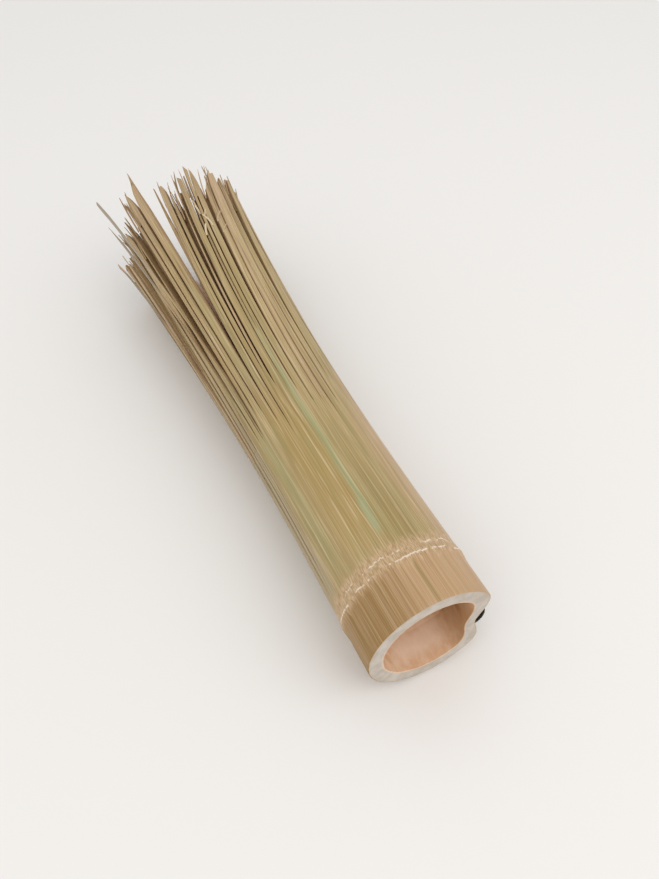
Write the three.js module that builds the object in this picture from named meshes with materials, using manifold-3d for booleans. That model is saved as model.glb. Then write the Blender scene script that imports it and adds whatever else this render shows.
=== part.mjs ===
// A pot brush split from one length of bamboo culm: a hollow handle with a node near its cut end, a ring of
// splints that divide into fine tines, and a cord loop through the handle's branch groove to hang it by.
//
// Millimetres, +Z up. The brush lies on its side: the culm's axis runs along +Y, the cut end faces -Y and the
// tines point to +Y. A bearing is an angle round that axis, from the top (+Z) towards +X.

import * as THREE from 'three';
import { mergeVertices } from 'three/addons/utils/BufferGeometryUtils.js';
import Module from 'manifold-3d';

const wasm = await Module();
wasm.setup();

const DEG = Math.PI / 180;

// Driving dimensions of the culm.
const CULM_RADIUS = 25;
const WALL = 6;
const BORE_RADIUS = CULM_RADIUS - WALL;
const HANDLE_LENGTH = 100;
const NODE_Y = 19;
const NODE_SWELL = 0.5;
const NODE_HALF_WIDTH = 5;
const SEPTUM_THICKNESS = 3;
const FIT_GAP = 0.3;

// The branch groove: a channel down one side of the short length between the cut end and the node.
const GROOVE_BEARING = 95;
const GROOVE_DEPTH = 7;
const GROOVE_HALF_ANGLE = 38;
const BORE_BULGE = 5.7;
const BORE_BULGE_HALF_ANGLE = 50;
const GROOVE_FADE_START = 15;
const GROOVE_FADE_END = 23;

// The splints and the tines they divide into.
const SPLINT_COUNT = 48;
const SPLINT_PITCH = 360 / SPLINT_COUNT;
const SLIT_WIDTH = 0.4;
const ROOT_GAP = 0.4;
const FORK_LENGTH = 40;
const FORK_OVERLAP = 2;
const TINE_STEPS = 5;
const TINE_ROOT_SHARE = 0.9;
const TINE_TIP_SHARE = 0.6;
const TINE_TIP_THICKNESS = 3;
const FLARE_START_Y = 60;
const FLARE_END_Y = 275;
const TIP_FLARE = 9;
const FLARE_POWER = 1.6;
const TIP_JITTER = 5;
const LEAN_POWER = 1.8;

// How the ring of tines has been worked out of round, by bearing, as it stands at the tips: lean is the shift
// to +X, flare is added to TIP_FLARE, and tipY is the distance from the cut end. Values between two bearings
// run straight from one to the next. The tines have parted into two bunches at PARTING_BEARING.
const PARTING_BEARING = -33.75;
const SPREAD = [
  { bearing: -180, lean: 3, flare: 0, tipY: 268 },
  { bearing: -120, lean: 0, flare: 0, tipY: 264 },
  { bearing: -90, lean: 0, flare: 0, tipY: 266 },
  { bearing: -65, lean: 0, flare: 0, tipY: 277 },
  { bearing: PARTING_BEARING, lean: 6, flare: 7, tipY: 294 },
  { bearing: PARTING_BEARING, lean: 12.5, flare: 0, tipY: 283 },
  { bearing: 0, lean: 12, flare: 0, tipY: 285 },
  { bearing: 30, lean: 8.5, flare: 0, tipY: 285 },
  { bearing: 65, lean: 4.5, flare: 0, tipY: 285 },
  { bearing: 90, lean: 1.6, flare: 0, tipY: 276 },
  { bearing: 180, lean: 3, flare: 0, tipY: 268 },
];

// Thin strips that have split away from the side of a splint and stand out from the left bunch.
const STRAYS = [
  { sector: -52.5, flare: 19, tipY: 281 },
  { sector: -60, flare: 11.5, tipY: 273 },
  { sector: -82.5, flare: 8, tipY: 267 },
];
const STRAY_WIDTH = 0.9;

// The hanging cord and its hole.
const CORD_RADIUS = 0.9;
const CORD_HOLE_RADIUS = 2.4;
const CORD_HOLE_Y = 13;
const STRAND_OFFSET = 1.05;
const KNOT_RADIUS = 2.5;
const KNOT_BEARING_RADIUS = 9.4;

const AXIS_HEIGHT = CULM_RADIUS + NODE_SWELL;

function material(color, roughness) {
  return new THREE.MeshStandardMaterial({ color, roughness, metalness: 0 });
}

const SKIN = material(0xb89a5e, 0.5);
const SPLINT = material(0xbfa36c, 0.55);
const STRAY = material(0xc9b48a, 0.6);
const PITH = material(0xc8946a, 0.75);
const CORD = material(0x14130f, 0.8);

// A repeatable random number between -1 and 1 for a splint and a purpose.
function jitter(index, purpose) {
  const wave = Math.sin(index * 12.9898 + purpose * 78.233) * 43758.5453;
  return 2 * (wave - Math.floor(wave)) - 1;
}

function smoothstep(low, high, value) {
  return THREE.MathUtils.smoothstep(value, low, high);
}

// The direction that points outwards from the axis at a bearing.
function outward(bearing) {
  return new THREE.Vector3(Math.sin(bearing * DEG), 0, Math.cos(bearing * DEG));
}

// 1 in the middle of the groove, falling smoothly to 0 at its edge.
function grooveShape(bearing, halfAngle) {
  const away = Math.abs(THREE.MathUtils.euclideanModulo(bearing - GROOVE_BEARING + 180, 360) - 180);
  return away < halfAngle ? Math.cos((Math.PI / 2) * (away / halfAngle)) ** 2 : 0;
}

function grooveFade(y) {
  return 1 - smoothstep(GROOVE_FADE_START, GROOVE_FADE_END, y);
}

function nodeSwell(y) {
  const away = Math.abs(y - NODE_Y) / NODE_HALF_WIDTH;
  return away < 1 ? NODE_SWELL * Math.cos((Math.PI / 2) * away) ** 2 : 0;
}

// Keeps only the corners of a geometry, with shared ones joined, so that it is a closed mesh.
function closed(geometry) {
  geometry.deleteAttribute('normal');
  geometry.deleteAttribute('uv');
  return mergeVertices(geometry, 1e-4);
}

// Moves every vertex of a geometry to where place(vertex) puts it.
function reshape(geometry, place) {
  const position = geometry.getAttribute('position');
  const vertex = new THREE.Vector3();
  for (let i = 0; i < position.count; i += 1) {
    place(vertex.fromBufferAttribute(position, i));
    position.setXYZ(i, vertex.x, vertex.y, vertex.z);
  }
  return geometry;
}

function toManifold(geometry) {
  const vertProperties = new Float32Array(geometry.getAttribute('position').array);
  const triVerts = new Uint32Array(geometry.index.array);
  return new wasm.Manifold(new wasm.Mesh({ numProp: 3, vertProperties, triVerts }));
}

function fromManifold(solid) {
  const mesh = solid.getMesh();
  const geometry = new THREE.BufferGeometry();
  geometry.setAttribute('position', new THREE.BufferAttribute(mesh.vertProperties, 3));
  geometry.setIndex(new THREE.BufferAttribute(mesh.triVerts, 1));
  return geometry;
}

function namedMesh(name, geometry, finish) {
  geometry.computeVertexNormals();
  const mesh = new THREE.Mesh(geometry, finish.clone());
  mesh.name = name;
  return mesh;
}

// Radius of the culm's skin at a distance y, where the splints spread apart. flare widens it at the tips.
function skinRadius(y, flare) {
  const along = Math.max(0, y - FLARE_START_Y) / (FLARE_END_Y - FLARE_START_Y);
  return CULM_RADIUS + (TIP_FLARE + flare) * along ** FLARE_POWER;
}

// The handle: a turned tube whose groove is pressed in from the outside and bulges into the bore.
function handleTube() {
  const nodeSteps = [-1, -0.5, 0, 0.5, 1].map((step) => NODE_Y + step * NODE_HALF_WIDTH);
  const flareSteps = [FLARE_START_Y, (FLARE_START_Y + HANDLE_LENGTH) / 2, HANDLE_LENGTH];
  const skin = [0, 8, ...nodeSteps, ...flareSteps];
  const bore = [...flareSteps.toReversed(), GROOVE_FADE_END, NODE_Y, GROOVE_FADE_START, 0];
  const profile = [
    ...skin.map((y) => new THREE.Vector2(skinRadius(y, 0) + nodeSwell(y), y)),
    ...bore.map((y) => new THREE.Vector2(skinRadius(y, 0) - WALL, y)),
    new THREE.Vector2(CULM_RADIUS, 0),
  ];
  const segments = 72;
  return reshape(new THREE.LatheGeometry(profile, segments), (vertex) => {
    const radius = Math.hypot(vertex.x, vertex.z);
    const bearing = Math.atan2(vertex.x, vertex.z) / DEG;
    const onSkin = radius > CULM_RADIUS - WALL / 2;
    const dent = onSkin
      ? GROOVE_DEPTH * grooveShape(bearing, GROOVE_HALF_ANGLE)
      : BORE_BULGE * grooveShape(bearing, BORE_BULGE_HALF_ANGLE);
    const scale = 1 - (dent * grooveFade(vertex.y)) / radius;
    vertex.x *= scale;
    vertex.z *= scale;
  });
}

// A drill along the groove's bearing, long enough to pass through the wall on that side only.
function cordHoleDrill() {
  const drill = new THREE.CylinderGeometry(CORD_HOLE_RADIUS, CORD_HOLE_RADIUS, CULM_RADIUS, 20);
  drill.rotateX(Math.PI / 2);
  drill.translate(0, 0, CULM_RADIUS / 2 + KNOT_RADIUS);
  drill.rotateY(GROOVE_BEARING * DEG);
  drill.translate(0, CORD_HOLE_Y, 0);
  return drill;
}

function culmHandle() {
  const tube = toManifold(closed(handleTube()));
  const drill = toManifold(closed(cordHoleDrill()));
  return namedMesh('culm_handle', fromManifold(tube.subtract(drill)), SKIN);
}

// The wall of pith across the bore at the node, slightly domed towards the tines.
function nodeSeptum() {
  const rim = BORE_RADIUS - FIT_GAP;
  const low = NODE_Y - SEPTUM_THICKNESS / 2;
  const high = NODE_Y + SEPTUM_THICKNESS / 2;
  const dome = 1.5;
  const profile = [
    new THREE.Vector2(0, low + dome),
    new THREE.Vector2(rim * 0.6, low + dome * 0.6),
    new THREE.Vector2(rim, low),
    new THREE.Vector2(rim, high),
    new THREE.Vector2(rim * 0.6, high + dome * 0.6),
    new THREE.Vector2(0, high + dome),
  ];
  const disc = reshape(new THREE.LatheGeometry(profile, 72), (vertex) => {
    const bearing = Math.atan2(vertex.x, vertex.z) / DEG;
    const bulge = BORE_BULGE * grooveShape(bearing, BORE_BULGE_HALF_ANGLE) * grooveFade(low);
    const scale = (rim - bulge) / rim;
    vertex.x *= scale;
    vertex.z *= scale;
  });
  return namedMesh('node_septum', closed(disc), PITH);
}

// The lean, extra flare and length of the tines at a bearing, read from SPREAD.
function spreadAt(bearing) {
  const above = SPREAD.findIndex((row, i) => i > 0 && row.bearing >= bearing);
  const [from, to] = [SPREAD[above - 1], SPREAD[above]];
  const share = (bearing - from.bearing) / (to.bearing - from.bearing);
  const between = (key) => THREE.MathUtils.lerp(from[key], to[key], share);
  return { lean: between('lean'), flare: between('flare'), tipY: between('tipY') };
}

// Sideways shift to +X at a distance y of a splint that leans by a given amount at the tips.
function leanAt(y, lean) {
  const along = Math.max(0, y - HANDLE_LENGTH) / (FLARE_END_Y - HANDLE_LENGTH);
  return lean * along ** LEAN_POWER;
}

// The radius at which a splint's lower edge meets the surface that the brush lies on, which presses it flat.
function groundRadius(bearing) {
  const lowerEdge = Math.min(180, Math.abs(bearing) + SPLINT_PITCH / 2);
  const down = -Math.cos(lowerEdge * DEG);
  return down > 0 ? AXIS_HEIGHT / down : Infinity;
}

// A straight bar along +Y whose width follows widthAt(y); z runs from 0 on the bore side to 1 on the skin.
function bar(fromY, toY, steps, widthAt) {
  const box = new THREE.BoxGeometry(1, toY - fromY, 1, 1, steps, 1);
  box.translate(0, (toY + fromY) / 2, 0.5);
  return reshape(box, (vertex) => {
    vertex.x *= widthAt(vertex.y);
  });
}

// One splint, lying along its own +Y from the line where it bends: the outer edge of its root. Past the fork
// it divides into tines that taper to their tips and spread as the ring of splints widens.
function splint({ name, seed, bearing, rootWidth, tineCount, lean, flare, tipY, finish }) {
  const rootY = HANDLE_LENGTH + ROOT_GAP;
  const length = tipY - rootY;
  const turn = bearing * DEG;
  const radiusAt = (y) => Math.min(skinRadius(rootY + y, flare), groundRadius(bearing));

  // Bends a flat bar onto the ring: centre is where the bar stands across the splint's root.
  const bend = (flat, centre) => reshape(flat, (vertex) => {
    const skin = radiusAt(vertex.y);
    const thickness = THREE.MathUtils.lerp(WALL, TINE_TIP_THICKNESS, vertex.y / length);
    const radius = skin - (1 - vertex.z) * thickness;
    const across = centre / radiusAt(0) + vertex.x / skin;
    const sideways = leanAt(rootY + vertex.y, lean);
    vertex.x = radius * Math.sin(across) + sideways * Math.cos(turn);
    vertex.z = radius * Math.cos(across) - radiusAt(0) + sideways * Math.sin(turn);
  });

  let solid = toManifold(closed(bend(bar(0, FORK_LENGTH, 2, () => rootWidth), 0)));
  const share = rootWidth / tineCount;
  for (let i = 0; i < tineCount; i += 1) {
    const toY = length - TIP_JITTER * (1 + jitter(seed, i + 1));
    const widthAt = (y) => share * THREE.MathUtils.lerp(TINE_ROOT_SHARE, TINE_TIP_SHARE, y / length);
    const tine = bar(FORK_LENGTH - FORK_OVERLAP, toY, TINE_STEPS, widthAt);
    solid = solid.add(toManifold(closed(bend(tine, share * (i + 0.5) - rootWidth / 2))));
  }
  const mesh = namedMesh(name, fromManifold(solid), finish);
  mesh.position.copy(outward(bearing).multiplyScalar(radiusAt(0))).setY(rootY);
  mesh.rotation.y = turn;
  return mesh;
}

// The whole ring of splints, with a stray strip taken off the side of three of them.
function splintRing() {
  const ring = new THREE.Group();
  const rootRadius = skinRadius(HANDLE_LENGTH, 0);
  const fullWidth = rootRadius * SPLINT_PITCH * DEG - SLIT_WIDTH;
  for (let seed = 0; seed < SPLINT_COUNT; seed += 1) {
    const sector = -180 + (seed + 1) * SPLINT_PITCH;
    const stray = STRAYS.find((entry) => entry.sector === sector);
    const taken = stray ? STRAY_WIDTH + SLIT_WIDTH : 0;
    const { lean, flare, tipY } = spreadAt(sector);
    ring.add(splint({
      name: `splint_${String(seed + 1).padStart(2, '0')}`,
      seed,
      bearing: sector + taken / 2 / (rootRadius * DEG),
      rootWidth: fullWidth - taken,
      tineCount: seed % 3 === 1 && !stray ? 3 : 2,
      lean,
      flare,
      tipY: tipY + TIP_JITTER * jitter(seed, 0),
      finish: SPLINT,
    }));
    if (stray) {
      ring.add(splint({
        name: `stray_strip_${STRAYS.indexOf(stray) + 1}`,
        seed,
        bearing: sector - (fullWidth - STRAY_WIDTH) / 2 / (rootRadius * DEG),
        rootWidth: STRAY_WIDTH,
        tineCount: 1,
        lean,
        flare: stray.flare,
        tipY: stray.tipY,
        finish: STRAY,
      }));
    }
  }
  return ring;
}

// A place beside the culm's axis: out along the cord hole, up from it, and along the culm.
function besideHole(out, up, y) {
  const across = outward(GROOVE_BEARING);
  const upwards = outward(GROOVE_BEARING - 90);
  return new THREE.Vector3().addScaledVector(across, out).addScaledVector(upwards, up).setY(y);
}

// The cord: out of the hole, along the side of the culm towards the cut end, down to the ground, back along
// the culm and home again. Everything beyond the wall stays outside the culm, so the loop turns freely.
function hangingCord() {
  const beside = CULM_RADIUS + NODE_SWELL + CORD_RADIUS + 0.5;
  const ground = CORD_RADIUS - AXIS_HEIGHT + 0.1;
  const nearStrand = CORD_HOLE_Y - STRAND_OFFSET;
  const farStrand = CORD_HOLE_Y + STRAND_OFFSET;
  const knotFace = KNOT_BEARING_RADIUS + KNOT_RADIUS + FIT_GAP;
  const route = new THREE.CatmullRomCurve3([
    besideHole(knotFace, 0, nearStrand),
    besideHole(19, 0, nearStrand),
    besideHole(beside - 1.5, 0, nearStrand),
    besideHole(beside + 0.6, -0.6, nearStrand - 2.4),
    besideHole(beside + 0.5, -7.5, 6),
    besideHole(beside + 0.4, -15, 5.6),
    new THREE.Vector3(beside + 1, 13, ground + 3),
    new THREE.Vector3(beside + 3.5, 30, ground),
    new THREE.Vector3(beside + 5, 58, ground),
    new THREE.Vector3(beside + 1.2, 69, ground),
    new THREE.Vector3(beside - 1.8, 58, ground),
    new THREE.Vector3(beside - 1.6, 36, ground + 1),
    besideHole(beside + 0.6, -13, 23),
    besideHole(beside + 0.5, -4.5, farStrand + 2.6),
    besideHole(beside - 1.5, -0.3, farStrand),
    besideHole(19, 0, farStrand),
    besideHole(knotFace, 0, farStrand),
  ]);
  const section = new THREE.Shape().absarc(0, 0, CORD_RADIUS, 0, 2 * Math.PI);
  const cord = new THREE.ExtrudeGeometry(section, {
    curveSegments: 4,
    steps: 70,
    bevelEnabled: false,
    extrudePath: route,
  });
  return namedMesh('hanging_cord', closed(cord), CORD);
}

// The stopper knot inside the bore, too big for the hole.
function cordKnot() {
  const knot = new THREE.SphereGeometry(KNOT_RADIUS, 14, 10);
  knot.scale(1, 1.15, 1);
  const centre = besideHole(KNOT_BEARING_RADIUS, 0, CORD_HOLE_Y);
  knot.translate(centre.x, centre.y, centre.z);
  return namedMesh('cord_knot', closed(knot), CORD);
}

const brush = new THREE.Group();
brush.add(culmHandle(), nodeSeptum(), splintRing(), hangingCord(), cordKnot());

// The origin is under the middle of the brush, on the surface it lies on.
brush.updateMatrixWorld(true);
const extent = new THREE.Box3().setFromObject(brush, true);
const middle = extent.getCenter(new THREE.Vector3());
brush.position.set(-middle.x, -middle.y, -extent.min.z);

export default brush;
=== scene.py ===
"""A pot brush split from one length of bamboo culm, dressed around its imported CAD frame.

Places on the culm are given as a bearing (degrees round the axis, from the top towards +X), a distance
y from the cut end and a radius, both in millimetres; place() turns them into metres in the row frame.
Every mesh carries two attributes for its material: "grain", the place that each corner had in the uncut
culm, so that stains run on from the culm into the tines, and "tone", how far a strip's colour departs
from the culm's.
"""

import math
import random
from dataclasses import dataclass

import bpy
from mathutils import Matrix, Vector, noise


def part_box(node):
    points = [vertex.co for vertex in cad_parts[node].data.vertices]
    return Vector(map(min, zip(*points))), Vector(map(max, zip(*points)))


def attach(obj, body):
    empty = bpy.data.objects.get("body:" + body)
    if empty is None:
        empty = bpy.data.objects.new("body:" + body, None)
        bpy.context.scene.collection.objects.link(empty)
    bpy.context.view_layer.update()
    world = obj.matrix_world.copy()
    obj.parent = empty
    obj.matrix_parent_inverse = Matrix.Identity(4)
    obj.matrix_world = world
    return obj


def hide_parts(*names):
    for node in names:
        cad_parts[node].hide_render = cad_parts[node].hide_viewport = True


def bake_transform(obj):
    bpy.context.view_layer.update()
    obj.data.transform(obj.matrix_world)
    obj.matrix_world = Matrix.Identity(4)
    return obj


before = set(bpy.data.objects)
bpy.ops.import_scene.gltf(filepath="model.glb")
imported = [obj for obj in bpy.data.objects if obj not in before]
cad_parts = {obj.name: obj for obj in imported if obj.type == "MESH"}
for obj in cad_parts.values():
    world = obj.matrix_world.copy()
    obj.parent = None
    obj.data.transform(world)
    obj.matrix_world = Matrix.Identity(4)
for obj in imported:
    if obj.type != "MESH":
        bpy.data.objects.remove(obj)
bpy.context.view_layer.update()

MM = 0.001

# The culm, as in the CAD part.
CULM_RADIUS = 25.0
WALL = 6.0
NODE_Y = 19.0
NODE_SWELL = 0.5
NODE_HALF_WIDTH = 5.0
GROOVE_BEARING = 95.0
GROOVE_DEPTH = 7.0
GROOVE_HALF_ANGLE = 38.0
BORE_BULGE = 5.7
BORE_BULGE_HALF_ANGLE = 50.0
GROOVE_FADE_START = 15.0
GROOVE_FADE_END = 23.0

# The spread of the ring of splints, as in the CAD part: bearing, lean to +X, extra flare.
SPLINT_COUNT = 48
SPLINT_PITCH = 360.0 / SPLINT_COUNT
FLARE_START_Y = 60.0
FLARE_END_Y = 275.0
TIP_FLARE = 9.0
FLARE_POWER = 1.6
LEAN_POWER = 1.8
PARTING_BEARING = -33.75
SPREAD = [
    (-180.0, 3.0, 0.0),
    (-120.0, 0.0, 0.0),
    (-90.0, 0.0, 0.0),
    (-65.0, 0.0, 0.0),
    (PARTING_BEARING, 6.0, 7.0),
    (PARTING_BEARING, 12.5, 0.0),
    (0.0, 12.0, 0.0),
    (30.0, 8.5, 0.0),
    (65.0, 4.5, 0.0),
    (90.0, 1.6, 0.0),
    (180.0, 3.0, 0.0),
]
STRAY_FLARE = {-52.5: 19.0, -60.0: 11.5, -82.5: 8.0}
STRAY_NAME = {-52.5: "stray_strip_1", -60.0: "stray_strip_2", -82.5: "stray_strip_3"}
STRAY_WIDTH = 0.9

# The cord and its hole, as in the CAD part.
CORD_RADIUS = 0.9
CORD_HOLE_RADIUS = 2.4
CORD_HOLE_Y = 13.0
CORD_LEG_OFFSET = 1.05
KNOT_OUT = 9.4

# Where the camera stands from the middle of the cut end, and the way it looks.
CAMERA_PLACE = Vector((-85.3, -95.9, 235.5))
CAMERA_SIGHT = Vector((0.293, 0.609, -0.737))
FRAME_HEIGHT_PX = 879
FOCAL_LENGTH_PX = 750
SENSOR = 36.0

# How the slits run: where they start, how fast they open, how wide and how deep they are.
SLIT_START = (84.0, 126.0)
LEFT_SLIT_START = (26.0, 62.0)
LEFT_BEARINGS = (-112.0, -68.0)
INNER_SLIT_START = (104.0, 165.0)
STRAY_SLIT_START = 96.0
SLIT_OPENING = 14.0
HAIRLINE = (0.04, 0.38)
SLIT_DEPTH = 4.5
EDGE_DRIFT = 0.9
MIN_SHARED_SPLINT = 5.0  # degrees; a narrower splint isn't split again
BLADE_SHARE = 0.93  # how much of its root's width a strip keeps at the tips
UPPER_HALF = 110.0

# Two wide blades stand whole on the left of the parting. The one at its edge is the longest of all,
# and its end has a chosen shape, not one drawn by chance.
WIDE_BLADES = ("splint_18", "splint_19")
TALL_BLADE = "splint_19"
TALL_BLADE_END = {"tip_y": 292.0, "tone": 0.2, "tip_width": 0.2, "taper": 26.0, "slant": -10.0, "rise": 1.2}
STRAY_TONE = 2.0

# A single narrow strip stands in the parting.
PARTING_STRIP_BEARING = -33.0
PARTING_STRIP_TIP_Y = 281.0
PARTING_STRIP_LEAN = 9.0

# Broken curls of bamboo that stand on the tines near their tips.
CHIP_BEARINGS = (-14.0, 10.0)
CHIP_DISTANCES = (216.0, 252.0)


def clamp(value, low=0.0, high=1.0):
    return max(low, min(high, value))


def lerp(a, b, share):
    return a + (b - a) * share


def smoothstep(low, high, value):
    share = clamp((value - low) / (high - low))
    return share * share * (3 - 2 * share)


def spaced(start, end, step):
    """Values from start up to, but not including, end, evenly spaced by about step."""
    count = max(1, round((end - start) / step))
    return [start + (end - start) * i / count for i in range(count)]


def rough(*seeds):
    """Smooth repeatable noise between about -1 and 1."""
    x, y, z = (list(seeds) + [0.0, 0.0])[:3]
    return noise.noise(Vector((x, y, z)))


# ---------------------------------------------- the culm's shape

culm_low, culm_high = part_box("culm_handle")
HANDLE_LENGTH = (culm_high.y - culm_low.y) / MM


def skin_radius(y, flare=0.0):
    spread = max(0.0, y - FLARE_START_Y) / (FLARE_END_Y - FLARE_START_Y)
    past_handle = max(0.0, y - HANDLE_LENGTH) / (FLARE_END_Y - HANDLE_LENGTH)
    return CULM_RADIUS + TIP_FLARE * spread**FLARE_POWER + flare * past_handle**LEAN_POWER


ROOT_RADIUS = skin_radius(HANDLE_LENGTH)
AXIS = Vector((culm_low.x + ROOT_RADIUS * MM, culm_low.y, culm_high.z - ROOT_RADIUS * MM))
AXIS_HEIGHT = AXIS.z / MM


def place(bearing, y, radius, lean=0.0):
    """A point in the row frame, in metres."""
    turn = math.radians(bearing)
    return AXIS + Vector((radius * math.sin(turn) + lean, y, radius * math.cos(turn))) * MM


def grain_at(bearing, y, radius):
    """The same place in the uncut culm, in millimetres from the middle of its cut end."""
    turn = math.radians(bearing)
    return (radius * math.sin(turn), y, radius * math.cos(turn))


def groove_shape(bearing, half_angle):
    away = abs((bearing - GROOVE_BEARING + 180.0) % 360.0 - 180.0)
    return math.cos(math.pi / 2 * away / half_angle) ** 2 if away < half_angle else 0.0


def groove_fade(y):
    return 1.0 - smoothstep(GROOVE_FADE_START, GROOVE_FADE_END, y)


def bore_radius(bearing, y):
    bulge = BORE_BULGE * groove_shape(bearing, BORE_BULGE_HALF_ANGLE) * groove_fade(y)
    return skin_radius(y) - WALL - bulge


def node_relief(bearing, y):
    """The ridge round the culm at its node: a broad swell with two sharp lips left by the sheath."""
    away = abs(y - NODE_Y) / NODE_HALF_WIDTH
    swell = NODE_SWELL * math.cos(math.pi / 2 * away) ** 2 if away < 1 else 0.0
    wander = 0.5 * rough(bearing / 25.0, 3.1) + 0.2 * rough(bearing / 6.0, 8.4)
    lip = 0.16 * math.exp(-(((y - NODE_Y - wander) / 0.35) ** 2))
    hollow = 0.14 * math.exp(-(((y - NODE_Y + 0.9 - wander) / 0.5) ** 2))
    upper = 0.13 * clamp(0.5 + 1.6 * rough(bearing / 9.0, 5.7))
    upper_lip = upper * math.exp(-(((y - NODE_Y - 4.2 - wander) / 0.3) ** 2))
    return swell + lip - hollow + upper_lip


def scrape_relief(bearing, y):
    """Short strokes that the knife left across the node."""
    band = smoothstep(14.0, 18.0, y) * (1.0 - smoothstep(24.0, 29.0, y))
    return 0.07 * band * rough(bearing * 1.4, y / 4.0, 2.0)


def skin_relief(bearing, y):
    """How far the culm's skin stands out of a true circle."""
    uneven = 0.12 * math.sin(math.radians(2 * bearing + 40)) + 0.1 * rough(bearing / 20.0, y / 40.0, 6.0)
    dent = GROOVE_DEPTH * groove_shape(bearing, GROOVE_HALF_ANGLE) * groove_fade(y)
    return node_relief(bearing, y) + scrape_relief(bearing, y) + uneven * fade_to_splints(y) - dent


def fade_to_splints(y):
    """1 over the handle, falling to 0 where the splints begin, so that the two skins meet."""
    return 1.0 - smoothstep(HANDLE_LENGTH - 25.0, HANDLE_LENGTH - 1.0, y)


def spread_at(bearing):
    for low, high in zip(SPREAD, SPREAD[1:]):
        if low[0] < bearing <= high[0]:
            share = (bearing - low[0]) / (high[0] - low[0])
            return lerp(low[1], high[1], share), lerp(low[2], high[2], share)
    return SPREAD[0][1:]


def lean_at(y, lean):
    return lean * (max(0.0, y - HANDLE_LENGTH) / (FLARE_END_Y - HANDLE_LENGTH)) ** LEAN_POWER


# ------------------------------------- slits, strips and splints


@dataclass
class Slit:
    """A split along the grain. It opens from start on, and its bearing drifts from root to tip."""

    root: float
    tip: float
    start: float
    hairline: float
    gape: float = 0.0

    def bearing(self, y):
        share = clamp((y - HANDLE_LENGTH) / (FLARE_END_Y - HANDLE_LENGTH))
        return lerp(self.root, self.tip, share**1.3)

    def opened(self, y):
        return smoothstep(self.start, self.start + SLIT_OPENING, y)

    def half_gap(self, y):
        along = max(0.0, y - self.start) / (FLARE_END_Y - self.start)
        return self.hairline * self.opened(y) + self.gape * along**1.4


@dataclass
class Strip:
    """One tine: the bamboo between two neighbouring slits, and how it has been worn and bent."""

    splint: str
    low: Slit
    high: Slit
    lean: float
    flare: float
    tip_y: float
    tip_thickness: float
    tone: float
    tip_width: float
    taper: float
    slant: float
    rise: float
    sway: float
    twist: float
    seed: float

    def free(self, y):
        """0 while the strip is still joined to a neighbour, 1 once both of its slits are open."""
        return min(self.low.opened(y), self.high.opened(y))

    def middle(self):
        return (self.low.root + self.high.root) / 2


def splint_name(sector):
    return f"splint_{round((sector + 180.0) / SPLINT_PITCH):02d}"


def sector_of(name):
    """The bearing of the middle of a splint or stray strip's sector."""
    for sector, stray in STRAY_NAME.items():
        if stray == name:
            return sector
    return -180.0 + int(name[-2:]) * SPLINT_PITCH


def slit_start(draw, bearing, between_splints):
    """Where a slit begins. The left side is split almost down to the node."""
    if not between_splints:
        return draw.uniform(*INNER_SLIT_START)
    if LEFT_BEARINGS[0] < bearing < LEFT_BEARINGS[1]:
        return draw.uniform(*LEFT_SLIT_START)
    return draw.uniform(*SLIT_START)


def splint_cuts(draw, low, high, stray, whole):
    """Bearings that divide a splint's root into strips; a stray strip comes off its low side."""
    cuts = [low]
    if stray:
        cuts.append(low + math.degrees(STRAY_WIDTH / ROOT_RADIUS))
    start = cuts[-1]
    room = high - start
    count = 1 if whole or room < MIN_SHARED_SPLINT else draw.choice([1, 1, 2, 2, 2, 3])
    if count == 2:
        shares = [draw.uniform(0.36, 0.64)]
    else:
        shares = [lerp(0.3, 0.7, i) + draw.uniform(-0.06, 0.06) for i in range(count - 1)]
    return cuts + [start + room * share for share in shares]


def ring_slits():
    """All the slits in order of bearing, with the splint that lies above each one."""
    draw = random.Random("slits")
    edges = []
    for k in range(SPLINT_COUNT):
        bearing = -180.0 + (k + 0.5) * SPLINT_PITCH
        steady = bearing == PARTING_BEARING or bearing + SPLINT_PITCH / 2 in STRAY_FLARE
        edges.append(bearing + (0.0 if steady else draw.uniform(-EDGE_DRIFT, EDGE_DRIFT)))
    edges.append(edges[0] + 360.0)
    slits, owners = [], []
    for k in range(SPLINT_COUNT):
        sector = -180.0 + (k + 1) * SPLINT_PITCH
        stray = sector in STRAY_FLARE
        whole = splint_name(sector) in WIDE_BLADES
        for i, cut in enumerate(splint_cuts(draw, edges[k], edges[k + 1], stray, whole)):
            at_edge = i == 0 or (stray and i == 1)
            start = slit_start(draw, cut, at_edge)
            if stray and i == 1:
                start = min(start, STRAY_SLIT_START)
            slits.append(Slit(cut, cut, start, lerp(*HAIRLINE, draw.random() ** 2.2)))
            owners.append(STRAY_NAME[sector] if stray and i == 0 else splint_name(sector))
    return slits, owners


def share_out_gaps(slits, draw, block=7):
    """Lets the slits gape unevenly at the tips, a few wide and most narrow. No block of strips moves."""
    radius = CULM_RADIUS + TIP_FLARE
    for first in range(0, len(slits), block):
        group = slits[first : first + block]
        end = slits[first + block].root if first + block < len(slits) else slits[0].root + 360.0
        roots = [slit.root for slit in group] + [end]
        widths = [(b - a) * BLADE_SHARE * ROOT_RADIUS / radius for a, b in zip(roots, roots[1:])]
        spare = (end - roots[0]) - sum(widths)
        weights = [0.05 + draw.random() ** 2.4 for _ in group]
        gaps = [spare * weight / sum(weights) for weight in weights]
        bearing = roots[0]
        for i, slit in enumerate(group):
            slit.gape = math.radians(gaps[i]) * radius / 2
            if i:
                slit.tip = bearing + gaps[i] / 2
                bearing += gaps[i]
            else:
                bearing += gaps[i] / 2
            bearing += widths[i]


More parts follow.
